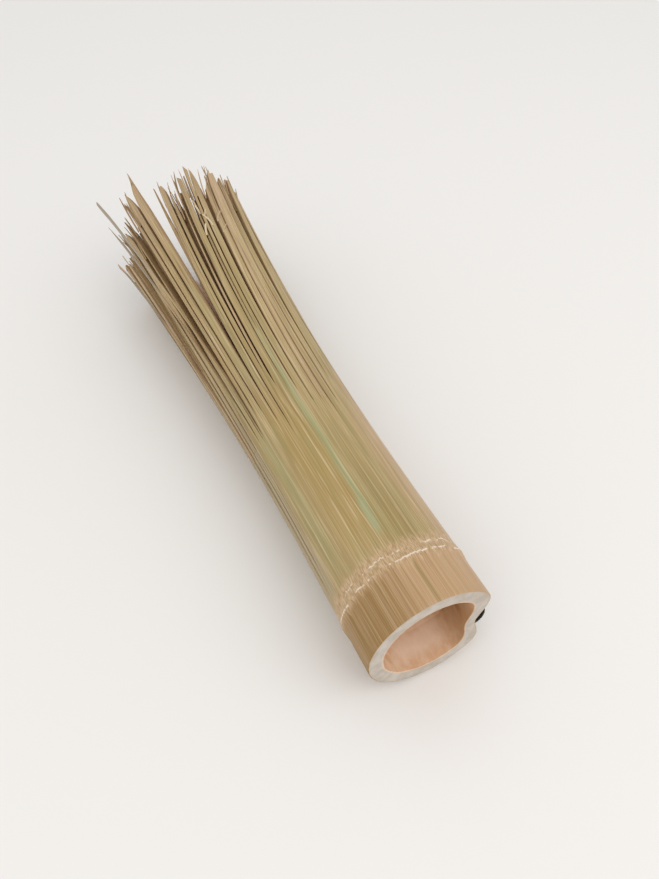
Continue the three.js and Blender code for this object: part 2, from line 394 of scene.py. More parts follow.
def end_by_chance(draw, tip_y, stray, upper, crossing):
    """The shape and colour of a strip's end."""
    return {
        "tip_y": tip_y,
        "tone": STRAY_TONE if stray else draw.uniform(-1.0, 1.0),
        "tip_width": draw.choice([0.1, 0.2, 0.35, 0.55, 0.75]),
        "taper": draw.uniform(5.0, 22.0),
        "slant": draw.uniform(-6.0, 6.0),
        "rise": upper * (draw.gauss(0.0, 0.7) + 1.6 * abs(crossing)),
    }


def strip_between(draw, splint, low, high, longest):
    """The strip between two slits. A few on the upper side cross their neighbours."""
    stray = splint.startswith("stray")
    sector = sector_of(splint)
    lean, flare = spread_at(sector)
    tip_y = (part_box(splint)[1].y - AXIS.y) / MM - (0.0 if longest else draw.uniform(1.0, 14.0))
    upper = abs(low.root + high.root) / 2 < UPPER_HALF and not stray
    crossing = draw.choice([-1, 1]) if upper and draw.random() < 0.12 else 0
    crossing *= splint not in WIDE_BLADES
    tip_thickness = 1.0 if stray else draw.uniform(2.2, 3.8)
    end = TALL_BLADE_END if splint == TALL_BLADE else end_by_chance(draw, tip_y, stray, upper, crossing)
    return Strip(
        splint,
        low,
        high,
        lean,
        flare=STRAY_FLARE[sector] if stray else flare,
        tip_thickness=tip_thickness,
        sway=(not stray) * (draw.gauss(0.0, 0.35) + 2.2 * crossing),
        twist=upper * draw.gauss(0.0, 0.25),
        seed=draw.uniform(0.0, 500.0),
        **end,
    )


def ring_strips():
    """All the slits, and the strips between them in order of bearing."""
    slits, owners = ring_slits()
    draw = random.Random("strips")
    share_out_gaps(slits, draw)
    first = slits[0]
    slits.append(Slit(first.root + 360.0, first.tip + 360.0, first.start, first.hairline, first.gape))
    strips = []
    for splint, following, low, high in zip(owners, owners[1:] + [None], slits, slits[1:]):
        strips.append(strip_between(draw, splint, low, high, longest=following != splint))
    return slits, strips


slits, strips = ring_strips()


# ------------------------------------------------- mesh building

SKIN, SPLIT, PITH, CUT = range(4)
SHARP_ANGLE = math.radians(34)


def add_object(name, data):
    """A new object in the scene."""
    thing = bpy.data.objects.new(name, data)
    bpy.context.scene.collection.objects.link(thing)
    return thing


class Shape:
    """Closed shells for one object, with each corner's grain and tone and each face's material."""

    def __init__(self):
        self.points, self.grain, self.tone = [], [], []
        self.faces, self.looks = [], []

    def corner(self, point, grain, tone=0.0):
        self.points.append(point)
        self.grain.append(grain)
        self.tone.append(tone)
        return len(self.points) - 1

    def face(self, corners, look):
        self.faces.append(corners)
        self.looks.append(look)

    def bridge(self, ring, following, looks):
        """Joins two rings of as many corners; looks holds a material for each side of the ring."""
        count = len(ring)
        for i in range(count):
            after = (i + 1) % count
            self.face((ring[i], ring[after], following[after], following[i]), looks[i])

    def cap(self, ring, look, outwards):
        """Closes a ring with a fan round its middle."""
        middle = sum((self.points[i] for i in ring), Vector()) / len(ring)
        grain = tuple(sum(self.grain[i][k] for i in ring) / len(ring) for k in range(3))
        centre = self.corner(middle, grain, self.tone[ring[0]])
        for i, corner in enumerate(ring):
            after = ring[(i + 1) % len(ring)]
            self.face((centre, corner, after) if outwards else (centre, after, corner), look)

    def tube(self, rings, looks):
        for ring, following in zip(rings, rings[1:]):
            self.bridge(ring, following, looks)
        self.cap(rings[0], looks[0], outwards=False)
        self.cap(rings[-1], looks[0], outwards=True)

    def make(self, name, looks):
        mesh = bpy.data.meshes.new(name)
        mesh.from_pydata(self.points, [], self.faces)
        mesh.attributes.new("grain", "FLOAT_VECTOR", "POINT").data.foreach_set(
            "vector", [value for grain in self.grain for value in grain])
        mesh.attributes.new("tone", "FLOAT", "POINT").data.foreach_set("value", self.tone)
        for look in looks:
            mesh.materials.append(look)
        mesh.polygons.foreach_set("material_index", self.looks)
        mesh.validate()
        mesh.shade_smooth()
        mesh.set_sharp_from_angle(angle=SHARP_ANGLE)
        return add_object(name, mesh)


# ----------------------------------------------------- materials


def node_of(tree, kind):
    """The first node of a kind in a node tree."""
    return next(node for node in tree.nodes if node.type == kind)


class Look:
    """A material whose patterns follow the bamboo's grain. Its tint is painted on layer by layer."""

    def __init__(self, name):
        self.material = bpy.data.materials.new(name)
        self.material.use_nodes = True
        self.nodes = self.material.node_tree.nodes
        self.links = self.material.node_tree.links
        self.surface = node_of(self.material.node_tree, "BSDF_PRINCIPLED")
        self.grain = self.node("ShaderNodeAttribute", attribute_name="grain").outputs["Vector"]
        self.tone = self.node("ShaderNodeAttribute", attribute_name="tone").outputs["Fac"]
        parts = self.node("ShaderNodeSeparateXYZ")
        self.feed(parts.inputs[0], self.grain)
        self.x, self.y, self.z = parts.outputs
        self.bearing = self.math("DEGREES", self.math("ARCTAN2", self.x, self.z))
        self.tint = None

    def node(self, kind, **settings):
        node = self.nodes.new(kind)
        for name, value in settings.items():
            setattr(node, name, value)
        return node

    def feed(self, socket, value):
        if isinstance(value, bpy.types.NodeSocket):
            self.links.new(value, socket)
        elif isinstance(value, tuple):
            socket.default_value = (*value, 1.0)
        else:
            socket.default_value = value

    def math(self, operation, *values):
        node = self.node("ShaderNodeMath", operation=operation)
        for socket, value in zip(node.inputs, values):
            self.feed(socket, value)
        return node.outputs[0]

    def times(self, first, second):
        return self.math("MULTIPLY", first, second)

    def plus(self, first, second):
        return self.math("ADD", first, second)

    def centred(self, pattern, width):
        """A pattern of 0 to 1 spread evenly on both sides of 0, over width in all."""
        return self.math("MULTIPLY_ADD", pattern, width, -width / 2)

    def fibres(self, across, along, detail=2.0, roughness=0.5, seed=0.0):
        """Noise drawn out along the grain, with about so many marks per mm across it and along it."""
        scaled = self.node("ShaderNodeVectorMath", operation="MULTIPLY_ADD")
        self.feed(scaled.inputs[0], self.grain)
        scaled.inputs[1].default_value = (across, along, across)
        scaled.inputs[2].default_value = (seed, seed, seed)
        pattern = self.node("ShaderNodeTexNoise")
        self.feed(pattern.inputs["Vector"], scaled.outputs[0])
        pattern.inputs["Scale"].default_value = 1.0
        pattern.inputs["Detail"].default_value = detail
        pattern.inputs["Roughness"].default_value = roughness
        return pattern.outputs[0]

    def ramp(self, value, low, high, start=0.0, end=1.0):
        """Rises smoothly from start to end as value goes from low to high."""
        node = self.node("ShaderNodeMapRange", interpolation_type="SMOOTHSTEP")
        for socket, number in zip(node.inputs, (value, low, high, start, end)):
            self.feed(socket, number)
        return node.outputs[0]

    def mix(self, share, first, second):
        node = self.node("ShaderNodeMix", data_type="RGBA")
        self.feed(node.inputs[0], share)
        self.feed(node.inputs[6], first)
        self.feed(node.inputs[7], second)
        return node.outputs[2]

    def two_tone(self, pattern, low, high, first, second):
        """Passes from the first colour to the second as a pattern goes from low to high."""
        return self.mix(self.ramp(pattern, low, high), first, second)

    def paint(self, share, shade, strength=1.0):
        """Lays a colour over the tint so far."""
        self.tint = self.mix(self.times(share, strength), self.tint, shade)

    def band(self, value, low, high, soft):
        """1 between low and high, falling to 0 over soft on either side."""
        rise = self.ramp(value, low - soft, low + soft)
        fall = self.ramp(value, high - soft, high + soft, 1.0, 0.0)
        return self.times(rise, fall)

    def patch(self, bearings, distances, soft, edge):
        """A stain between two bearings and two distances. The softer it is, the more ragged its edges."""
        loose = min(1.0, soft / 4.0)
        bearing = self.plus(self.bearing, self.centred(edge, 6.0 * loose))
        y = self.plus(self.y, self.centred(edge, 24.0 * loose))
        return self.times(self.band(bearing, *bearings, soft), self.band(y, *distances, 9.0 * loose))

    def finish(self, roughness, height, strength, sheen=0.4):
        self.feed(self.surface.inputs["Base Color"], self.tint)
        self.feed(self.surface.inputs["Roughness"], roughness)
        self.surface.inputs["Specular IOR Level"].default_value = sheen
        bump = self.node("ShaderNodeBump")
        bump.inputs["Distance"].default_value = 0.1 * MM
        bump.inputs["Strength"].default_value = strength
        self.feed(bump.inputs["Height"], height)
        self.feed(self.surface.inputs["Normal"], bump.outputs[0])
        return self.material


GOLD = (0.39, 0.26, 0.08)
OLIVE = (0.34, 0.25, 0.09)
TAN = (0.42, 0.295, 0.125)
PINK_TAN = (0.51, 0.32, 0.195)
GREEN = (0.30, 0.285, 0.11)
PALE_GREEN = (0.34, 0.36, 0.185)
STRAW = (0.52, 0.38, 0.17)
CREAM = (0.72, 0.57, 0.37)
BROWN = (0.20, 0.115, 0.04)
GREY_TAN = (0.34, 0.265, 0.165)
WEATHERED = (0.34, 0.30, 0.24)

# Stains on the skin: colour, strength, bearings, distances from the cut end, softness in degrees.
STAINS = [
    (GOLD, 0.8, (-42, -10), (32, 110), 9.0),
    (GREEN, 0.7, (-12, -6), (40, 165), 2.4),
    (PALE_GREEN, 0.75, (-9, -6), (44, 150), 1.2),
    (PALE_GREEN, 0.85, (-13, -7), (33, 48), 1.4),
    (GREEN, 0.5, (-63, -50), (32, 100), 4.0),
    (GREEN, 0.5, (-42, -29), (125, 195), 3.5),
    (GREEN, 0.45, (-66, -54), (120, 200), 4.0),
    (GREEN, 0.4, (-4, 2), (130, 175), 2.0),
    (PINK_TAN, 0.75, (48, 180), (24, 120), 16.0),
    (PINK_TAN, 0.35, (28, 60), (26, 90), 12.0),
    (GREY_TAN, 0.7, (-180, -70), (26, 230), 6.0),
]


def skin_look():
    """The culm's outer skin, scraped over the node and browner below it."""
    look = Look("bamboo_skin")
    broad = look.fibres(0.16, 0.012, 3.0, seed=4.0)
    streak = look.fibres(0.55, 0.012, 3.0, 0.6, seed=9.0)
    edge = look.fibres(0.5, 0.03, 3.0, 0.6, seed=21.0)
    fine = look.fibres(3.8, 0.014, 2.0, 0.7, seed=31.0)
    mottle = look.fibres(0.45, 0.07, 3.0, 0.6, seed=26.0)
    look.tint = look.two_tone(broad, 0.36, 0.64, OLIVE, TAN)
    for stain, strength, bearings, distances, soft in STAINS:
        look.paint(look.patch(bearings, distances, soft, edge), stain, strength)
    look.paint(look.ramp(mottle, 0.5, 0.66), GREEN, 0.28)
    look.paint(look.ramp(mottle, 0.5, 0.34), TAN, 0.28)
    look.paint(look.ramp(look.y, 110.0, 160.0), STRAW, 0.45)
    look.paint(look.ramp(look.y, 200.0, 280.0), PINK_TAN, 0.5)
    look.paint(look.ramp(look.y, 17.5, 20.5, 1.0, 0.0), below_node(look, broad, streak), 0.9)

    # Fine lines in the skin everywhere, pale scratches, and dark checks that open towards the tines.
    contrast = look.ramp(look.y, 80.0, 140.0, 0.36, 0.5)
    look.paint(look.ramp(fine, 0.5, 0.34), BROWN, contrast)
    look.paint(look.ramp(fine, 0.5, 0.68), CREAM, contrast)
    scratch = look.ramp(look.fibres(3.4, 0.035, 1.0, 0.4, seed=36.0), 0.58, 0.66)
    scratch = look.times(scratch, look.ramp(streak, 0.4, 0.55))
    look.paint(scratch, CREAM, look.ramp(look.y, 14.0, 28.0, 0.2, 0.5))
    check = look.ramp(look.fibres(2.6, 0.022, 1.0, 0.4, seed=39.0), 0.6, 0.67)
    look.paint(check, BROWN, look.ramp(look.y, 70.0, 150.0, 0.1, 0.75))

    band, strokes = scraped_band(look)
    scraped = look.two_tone(strokes, 0.38, 0.62, (0.38, 0.23, 0.105), (0.66, 0.46, 0.29))
    look.paint(band, scraped, 0.75)
    look.paint(sheath_scar(look), (0.86, 0.75, 0.62), 0.85)

    # Each tine has weathered a little differently, and the strays have gone grey.
    look.paint(look.ramp(look.tone, 0.0, 1.0), PINK_TAN, 0.35)
    look.paint(look.ramp(look.tone, 0.0, -1.0), OLIVE, 0.35)
    look.paint(look.ramp(look.tone, 1.0, STRAY_TONE), WEATHERED, 0.8)
    height = look.plus(fine, look.times(strokes, band))
    return look.finish(look.ramp(streak, 0.3, 0.7, 0.42, 0.6), height, 0.6)


def below_node(look, broad, streak):
    """The short length below the node: golden brown on the left, pinkish tan towards the right."""
    line = look.fibres(2.6, 0.03, 2.0, 0.6, seed=41.0)
    golden = look.two_tone(line, 0.35, 0.65, (0.24, 0.125, 0.022), (0.305, 0.16, 0.034))
    pinkish = look.two_tone(line, 0.35, 0.65, (0.47, 0.28, 0.14), (0.50, 0.31, 0.165))
    side = look.plus(look.bearing, look.centred(streak, 40.0))
    tint = look.two_tone(side, -34.0, -6.0, golden, pinkish)
    crack = look.band(look.bearing, -1.8, 0.8, 1.2)
    tint = look.mix(look.times(crack, 0.75), tint, (0.27, 0.19, 0.05))
    return look.mix(look.ramp(broad, 0.45, 0.65, 0.0, 0.3), tint, PINK_TAN)


def scraped_band(look):
    """Where a knife has scraped the node, and the short strokes that it left there."""
    ragged = look.centred(look.fibres(1.6, 0.02, 2.0, 0.6, seed=47.0), 9.0)
    band = look.band(look.plus(look.y, ragged), 17.5, 26.0, 2.0)
    return band, look.fibres(3.2, 0.42, 2.0, 0.6, seed=55.0)


def sheath_scar(look):
    """The torn lips of the scar that the sheath left round the node: two broken lines that wander."""
    wander = look.centred(look.fibres(0.12, 0.0, 3.0, 0.6, seed=3.0), 3.4)
    frayed = look.centred(look.fibres(1.6, 0.3, 2.0, 0.7, seed=8.0), 1.4)
    y = look.plus(look.plus(look.y, wander), frayed)
    broken = look.fibres(0.22, 0.05, 3.0, 0.75, seed=66.0)
    lip = look.times(look.band(y, NODE_Y, NODE_Y + 0.5, 0.25), look.ramp(broken, 0.45, 0.53))
    upper_y = look.plus(y, look.times(wander, 1.5))
    upper_lip = look.band(upper_y, NODE_Y + 3.6, NODE_Y + 4.0, 0.25)
    upper_lip = look.times(upper_lip, look.ramp(broken, 0.5, 0.44))
    return look.math("MAXIMUM", lip, upper_lip)


def split_look():
    """The fibrous sides of a split strip, browner on strips of low tone; on the backing strips seen through
    the gaps this brown is painted shade.
    """
    look = Look("bamboo_split")
    fine = look.fibres(3.2, 0.03, 3.0, 0.65, seed=12.0)
    broad = look.fibres(0.5, 0.02, 2.0, seed=14.0)
    look.tint = look.two_tone(fine, 0.35, 0.65, (0.33, 0.215, 0.095), (0.53, 0.38, 0.21))
    look.paint(look.ramp(broad, 0.4, 0.65), PINK_TAN, 0.5)
    # Browner the lower the tone: random colour on the tines, painted shade on the low-toned backing strips
    # in the gaps.
    look.paint(look.ramp(look.tone, -1.0, 1.0, 1.0, 0.0), BROWN, 0.65)
    look.paint(look.ramp(look.tone, 1.0, STRAY_TONE), WEATHERED, 0.8)
    look.paint(look.ramp(look.tone, -1.0, -2.0), CREAM, 0.9)
    return look.finish(look.ramp(fine, 0.3, 0.7, 0.6, 0.8), fine, 0.8, sheen=0.25)


def pith_look():
    """The smooth, pinkish inner wall of the culm, with painted shade deeper towards the node and beside the
    groove, and a painted pool of light on its lower side near the mouth.
    """
    look = Look("bamboo_pith")
    mottle = look.fibres(0.35, 0.2, 4.0, 0.6, seed=70.0)
    fine = look.fibres(2.0, 0.06, 3.0, 0.6, seed=75.0)
    look.tint = look.two_tone(mottle, 0.35, 0.65, (0.69, 0.44, 0.27), (0.78, 0.56, 0.40))
    look.paint(look.ramp(fine, 0.55, 0.72), (0.82, 0.64, 0.46), 0.35)
    # Painted shade: darker deeper into the bore, towards the node.
    look.paint(look.ramp(look.y, 4.0, 22.0), (0.46, 0.26, 0.13), 0.35)
    # Painted shade on the bore wall beside the groove, on the side that faces away from the light.
    look.paint(look.band(look.bearing, 60.0, 140.0, 22.0), (0.34, 0.185, 0.07), 0.72)
    # Painted light: a paler pool on the lower wall of the bore, 5 to 14 mm in from the cut end.
    painted_light_low_side = look.ramp(look.math("ABSOLUTE", look.bearing), 135.0, 165.0, 0.0, 0.6)
    look.paint(painted_light_low_side, (0.88, 0.72, 0.58), look.band(look.y, 5.0, 14.0, 3.0))
    return look.finish(look.ramp(mottle, 0.3, 0.7, 0.6, 0.8), fine, 0.35, sheen=0.25)


def cut_look():
    """The sawn end of the wall: pale grey, speckled with bundles of fibre, warm along its inner edge."""
    look = Look("bamboo_cut")
    squares = look.plus(look.times(look.x, look.x), look.times(look.z, look.z))
    radius = look.math("SQRT", squares)
    specks = look.fibres(1.9, 0.2, 2.0, 0.7, seed=80.0)
    cloud = look.fibres(0.18, 0.1, 3.0, seed=83.0)
    bore = CULM_RADIUS - WALL
    look.tint = look.two_tone(cloud, 0.35, 0.65, (0.48, 0.42, 0.355), (0.58, 0.52, 0.455))
    look.paint(look.ramp(specks, 0.56, 0.7), (0.38, 0.28, 0.18), 0.35)
    look.paint(look.ramp(radius, CULM_RADIUS - 1.2, CULM_RADIUS - 0.2), (0.50, 0.42, 0.30), 0.5)
    look.paint(look.ramp(radius, bore + 0.9, bore + 0.3), (0.74, 0.58, 0.41), 0.45)
    return look.finish(0.8, specks, 0.5, sheen=0.2)


def cord_look():
    look = Look("cord")
    fluff = look.fibres(2.5, 2.5, 3.0, 0.7, seed=90.0)
    look.tint = look.two_tone(fluff, 0.4, 0.75, (0.008, 0.008, 0.007), (0.05, 0.048, 0.042))
    return look.finish(0.75, fluff, 1.0, sheen=0.3)


BAMBOO = [skin_look(), split_look(), pith_look(), cut_look()]
CORD_LOOKS = [cord_look()]


# ------------------------------------------------------ the culm

COLUMN_PITCH = 0.8
COLUMN_MARGIN = 0.8  # degrees kept clear of columns beside a slit
SLIT_EDGE = 0.01  # the least half width of a slit's mouth
SKIN_EDGE = 0.35
BORE_EDGE = 0.15
DRILL_START = 2.5  # how far out from the axis the drill for the cord's hole begins
DRILL_SIDES = 40


@dataclass
class Column:
    """A line of corners along the culm: on its skin, at the bottom of a slit, or at a slit's edge."""

    bearing: float
    slit: Slit = None
    side: int = 0

    def at(self, y):
        """The column's bearing at a distance y, and how deep it is cut."""
        if self.slit is None:
            return self.bearing, 0.0
        half_mouth = math.degrees(max(SLIT_EDGE, self.slit.half_gap(y)) / ROOT_RADIUS)
        depth = 0.0 if self.side else SLIT_DEPTH * math.sqrt(self.slit.opened(y))
        return self.bearing + self.side * half_mouth, depth


def culm_columns():
    """Columns all round the culm, three at each slit and the rest spread evenly between slits."""
    cuts = [slit for slit in slits[:-1] if slit.start < HANDLE_LENGTH]
    columns = []
    for slit, end in zip(cuts, [following.root for following in cuts[1:]] + [cuts[0].root + 360.0]):
        columns += [Column(slit.root, slit, side) for side in (-1, 0, 1)]
        margin = min(COLUMN_MARGIN, (end - slit.root) / 4)
        between = spaced(slit.root + margin, end - margin + 0.01, COLUMN_PITCH) + [end - margin]
        columns += [Column(bearing) for bearing in between]
    return columns


def culm_profile():
    """Stations round the wall: skin from the cut end on, the hidden root face, bore and sawn face."""
    skin = [(0.0, SKIN_EDGE), (0.12, 0.12), (0.4, 0.0)]
    rows = spaced(1.0, 14.0, 1.6) + spaced(14.0, 29.0, 0.42) + spaced(29.0, HANDLE_LENGTH, 2.0)
    skin += [(y, 0.0) for y in rows] + [(HANDLE_LENGTH, 0.0)]
    stations = [("skin", y, inset, SKIN) for y, inset in skin]
    stations += [("across", HANDLE_LENGTH, share, SPLIT) for share in (0.35, 0.7)]
    bore = [HANDLE_LENGTH] + spaced(HANDLE_LENGTH, 24.0, 5.0)[1:] + spaced(24.0, 0.8, 1.2) + [0.5, BORE_EDGE]
    stations += [("bore", y, 0.0, PITH) for y in bore]
    stations += [("across", 0.0, share, CUT) for share in (0.97, 0.85, 0.65, 0.45, 0.25, 0.1)]
    return stations


def culm_corner(kind, y, amount, bearing, depth):
    """A corner of the culm: its radius, its distance from the cut end and its radius in a perfect culm."""
    skin = skin_radius(y) + skin_relief(bearing, y) - depth
    bore = bore_radius(bearing, y) + 0.08 * rough(bearing / 15.0, y / 10.0, 4.0)
    if kind == "skin":
        nick = 0.16 * rough(bearing / 5.0, 1.0) if y < 0.3 else 0.0
        return skin - amount - nick, y, CULM_RADIUS - depth
    if kind == "bore":
        return bore, y, CULM_RADIUS - WALL
    if y > 0.0:
        return lerp(skin, bore, amount), y, CULM_RADIUS - WALL * amount
    sawn = 0.06 + 0.06 * rough(bearing / 4.0, amount * 3.0, 9.0)
    return lerp(skin - SKIN_EDGE, bore + BORE_EDGE, amount), sawn, CULM_RADIUS - WALL * amount


def culm():
    shape = Shape()
    stations = culm_profile()
    rings = []
    for column in culm_columns():
        ring = []
        for kind, y, amount, _ in stations:
            bearing, depth = column.at(y)
            radius, distance, in_perfect_culm = culm_corner(kind, y, amount, bearing, depth)
            grain = grain_at(bearing, distance, in_perfect_culm)
            ring.append(shape.corner(place(bearing, distance, radius), grain))
        rings.append(ring)
    looks = [station[3] for station in stations]
    for i, ring in enumerate(rings):
        shape.bridge(rings[(i + 1) % len(rings)], ring, looks)
    piece = shape.make("culm", BAMBOO)
    cut_cord_hole(piece)
    return piece


def cut_cord_hole(piece):
    """Drills the cord's hole through the wall in the groove."""
    drill = Shape()
    turn = Matrix.Rotation(math.radians(GROOVE_BEARING), 3, "Y")
    rings = []
    for out in (DRILL_START, CULM_RADIUS + DRILL_START):
        ring = []
        for i in range(DRILL_SIDES):
            angle = math.tau * i / DRILL_SIDES
            local = Vector((CORD_HOLE_RADIUS * math.cos(angle), -CORD_HOLE_RADIUS * math.sin(angle), out))
            point = AXIS + (turn @ local + Vector((0, CORD_HOLE_Y, 0))) * MM
            ring.append(drill.corner(point, (0.0, 0.0, 0.0)))
        rings.append(ring)
    drill.tube(rings, [SPLIT] * DRILL_SIDES)
    cutter = drill.make("drill", BAMBOO)
    modifier = piece.modifiers.new("hole", "BOOLEAN")
    modifier.object = cutter
    modifier.operation = "DIFFERENCE"
    modifier.solver = "MANIFOLD"
    apply_modifiers(piece)
    bpy.data.objects.remove(cutter)


def apply_modifiers(piece):
    graph = bpy.context.evaluated_depsgraph_get()
    final = bpy.data.meshes.new_from_object(piece.evaluated_get(graph))
    piece.modifiers.clear()
    piece.data = final


def septum():
    """The wall across the bore at the node, hollowed like a saucer, which curves up to meet the bore."""
    face = [(0.25, 18.7), (0.5, 18.4), (0.7, 17.9), (0.84, 17.2), (0.93, 16.3), (0.98, 15.2), (1.006, 13.6)]
    back = [(1.006, 20.5), (0.95, 21.6), (0.75, 22.0), (0.4, 22.3)]
    shape = Shape()
    sides = 96
    rings = []
    for share, y in face + back:
        ring = []
        for i in range(sides):
            bearing = 360.0 * i / sides
            wave = 0.12 * rough(share * 4.0, math.sin(math.radians(bearing)) * 2.0, y / 9.0)
            radius = share * bore_radius(bearing, y)
            ring.append(shape.corner(place(bearing, y + wave, radius), grain_at(bearing, y, radius)))
        rings.append(ring)
    shape.tube(rings, [PITH] * sides)
    return shape.make("septum", BAMBOO)


# --------------------------------------------------- the splints

SECTION_STEP = 4.0
TAIL = (16.0, 12.0, 9.0, 6.5, 4.5, 3.0, 1.8, 0.8, 0.0)  # closer sections, this far from a strip's tip
CORNER_ROUND = 0.16
SIDE_DEPTHS = (0.68, 0.34)
MIN_BACKED_GAPE = 0.12
FULL_SLANT = 10.0  # a strip whose end slants by this many mm comes to its point on its longer side


def ground_radius(bearing):
    """The radius at which the brush presses on what it lies on."""
    down = -math.cos(math.radians(min(180.0, abs(bearing))))
    return (AXIS_HEIGHT - 0.15) / down if down > 0.0 else math.inf


def tip_wear(strip, y):
    """How much narrower and thinner a strip has worn near its tip."""
    left = max(0.0, strip.tip_y - y)
    narrow = lerp(strip.tip_width, 1.0, clamp(left / strip.taper) ** 0.75)
    thin = lerp(0.25, 1.0, clamp(left / (strip.taper + 4.0)))
    return narrow, thin


def broken_end(strip, y, across, depth):
    """How far a corner lies short of y because the strip's end is slanted and ragged."""
    near_tip = clamp(1.0 - (strip.tip_y - y) / TAIL[0])
    slanted = strip.slant * (across if strip.slant > 0.0 else across - 1.0)
    ragged = 0.5 + 0.5 * rough(across * 4.0, depth, strip.seed)
    return slanted * near_tip + ragged * (y > strip.tip_y - 0.1)


def strip_outline(strip, y, thickness):
    """Corners round a strip's section: how far across (0 to 1), how deep, and the material after it."""
    width = math.radians(strip.high.root - strip.low.root) * ROOT_RADIUS
    low_round = (0.004 + CORNER_ROUND * strip.low.opened(y)) / width
    high_round = (0.004 + CORNER_ROUND * strip.high.opened(y)) / width
    outline = [(0.0, thickness, SPLIT)]
    outline += [(0.0, thickness * share, SPLIT) for share in SIDE_DEPTHS]
    outline += [(0.0, low_round * width, SPLIT), (low_round, 0.0, SKIN)]
    outline += [(0.36, 0.0, SKIN), (0.64, 0.0, SKIN)]
    outline += [(1.0 - high_round, 0.0, SPLIT), (1.0, high_round * width, SPLIT)]
    outline += [(1.0, thickness * share, SPLIT) for share in reversed(SIDE_DEPTHS)]
    outline += [(1.0, thickness, PITH), (0.5, thickness * 1.02, PITH)]
    return outline


def strip_section(shape, strip, y):
    """Adds the corners of a strip's section at a distance y."""
    along = clamp((y - HANDLE_LENGTH) / (strip.tip_y - HANDLE_LENGTH))
    free = strip.free(y)
    narrow, thin = tip_wear(strip, y)
    stray = strip.splint.startswith("stray")
    thinned = smoothstep(0.0, 0.3, along) if stray else along
    tone = strip.tone * (smoothstep(0.35, 0.8, along) if stray else free)
    thickness = lerp(WALL, strip.tip_thickness, thinned)
    skin = min(skin_radius(y, strip.flare), ground_radius(abs(strip.middle()) + SPLINT_PITCH / 2))
    low = strip.low.bearing(y) + math.degrees(strip.low.half_gap(y) / skin)
    high = strip.high.bearing(y) - math.degrees(strip.high.half_gap(y) / skin)
    bow = free * (strip.rise * along**1.5 + 0.25 * rough(y / 45.0, strip.seed) * along)
    sway = free * (strip.sway * along**1.5 + 0.22 * rough(y / 38.0, strip.seed, 5.0) * along)
    whole_half = (high - low) / 2
    half = whole_half * narrow
    to_long_side = clamp(-strip.slant / FULL_SLANT, -1.0, 1.0)
    middle = (low + high) / 2 + math.degrees(sway / skin) + (whole_half - half) * to_long_side
    ring = []
    looks = []
    for across, depth, look in strip_outline(strip, y, thickness):
        side = 2 * across - 1
        fibrous = 0.05 * free * rough(y / 2.2, depth * 1.7, strip.seed + side) if 0.3 < depth else 0.0
        bearing = middle + side * (half + math.degrees(fibrous / skin))
        crown = 0.10 * (1.0 - side * side) * free
        radius = skin - depth * thin + bow + crown * (depth == 0.0) + side * strip.twist * free * along
        point = place(bearing, y - broken_end(strip, y, across, depth), radius, lean_at(y, strip.lean))
        root = lerp(strip.low.root, strip.high.root, across)
        ring.append(shape.corner(point, grain_at(root, y, CULM_RADIUS - depth), tone))
        looks.append(look)
    return ring, looks


def add_strip(shape, strip):
    stations = spaced(HANDLE_LENGTH, strip.tip_y - TAIL[0], SECTION_STEP)
    stations += [strip.tip_y - left for left in TAIL]
    rings = []
    for y in stations:
        ring, looks = strip_section(shape, strip, y)
        rings.append(ring)
    shape.tube(rings, looks)


@dataclass
class Fibre:
    """A thin piece split off the wall. Each pair holds its values where it starts and at its free end."""

    bearings: tuple
    distances: tuple
    heights: tuple
    width: float
    thickness: float
    tone: float
    curl: float = 1.6
    end_width: float = 0.2


def add_fibre(shape, fibre, flare, lean):
    steps = max(6, round((fibre.distances[1] - fibre.distances[0]) / 12.0))
    rings = []
    for i in range(steps + 1):
        share = i / steps
        y = lerp(*fibre.distances, share)
        bearing = lerp(*fibre.bearings, share**fibre.curl)
        radius = min(skin_radius(y, flare) + lerp(*fibre.heights, share**fibre.curl), ground_radius(bearing))
        narrow = lerp(1.0, fibre.end_width, clamp(share * 4.0 - 3.0))
        half = math.degrees(fibre.width * narrow / 2 / radius)
        ring = []
        for side, depth in ((-1, 0.0), (1, 0.0), (1, fibre.thickness), (-1, fibre.thickness)):
            point = place(bearing + side * half, y, radius - depth, lean_at(y, lean))
            ring.append(shape.corner(point, grain_at(bearing, y, CULM_RADIUS - depth - 1.0), fibre.tone))
        rings.append(ring)
    shape.tube(rings, [SPLIT] * 4)


def add_whiskers(shape, strip, draw):
    """Fine fibres frayed from the side of a tine near its tip."""
    for _ in range(draw.choice([0, 1, 1, 2, 3])):
        side = strip.low if draw.random() < 0.5 else strip.high
        start = strip.tip_y - draw.uniform(14.0, 36.0)
        end = strip.tip_y + draw.uniform(-6.0, 6.0)
        bearing = side.bearing(start)
        fibre = Fibre(
            bearings=(bearing, bearing + draw.uniform(-3.5, 3.5)),
            distances=(start, end),
            heights=(-0.2, draw.uniform(-0.6, 1.6)),
            width=draw.uniform(0.35, 0.8),
            thickness=0.35,
            tone=draw.uniform(-1.5, 1.0),
        )
        add_fibre(shape, fibre, strip.flare, strip.lean)


def add_backing(shape, strip, slit, gap, draw):
    """A shorter strip from the inside of the wall, seen through a gap beside or under a tine."""
    under = strip.tip_thickness + 0.3
    fibre = Fibre(
        bearings=(slit.root, slit.tip + draw.uniform(-1.5, 1.5)),
        distances=(draw.uniform(106.0, 120.0), strip.tip_y - draw.uniform(3.0, 24.0)),
        heights=(1.2 - WALL, -under),
        width=gap + draw.uniform(1.6, 2.8),
        thickness=0.9,
        # A low tone, which the split material turns brown: painted shade for a strip seen deep in a gap.
        tone=draw.uniform(-1.0, -0.4),
        curl=1.3,
    )
    add_fibre(shape, fibre, strip.flare, strip.lean)


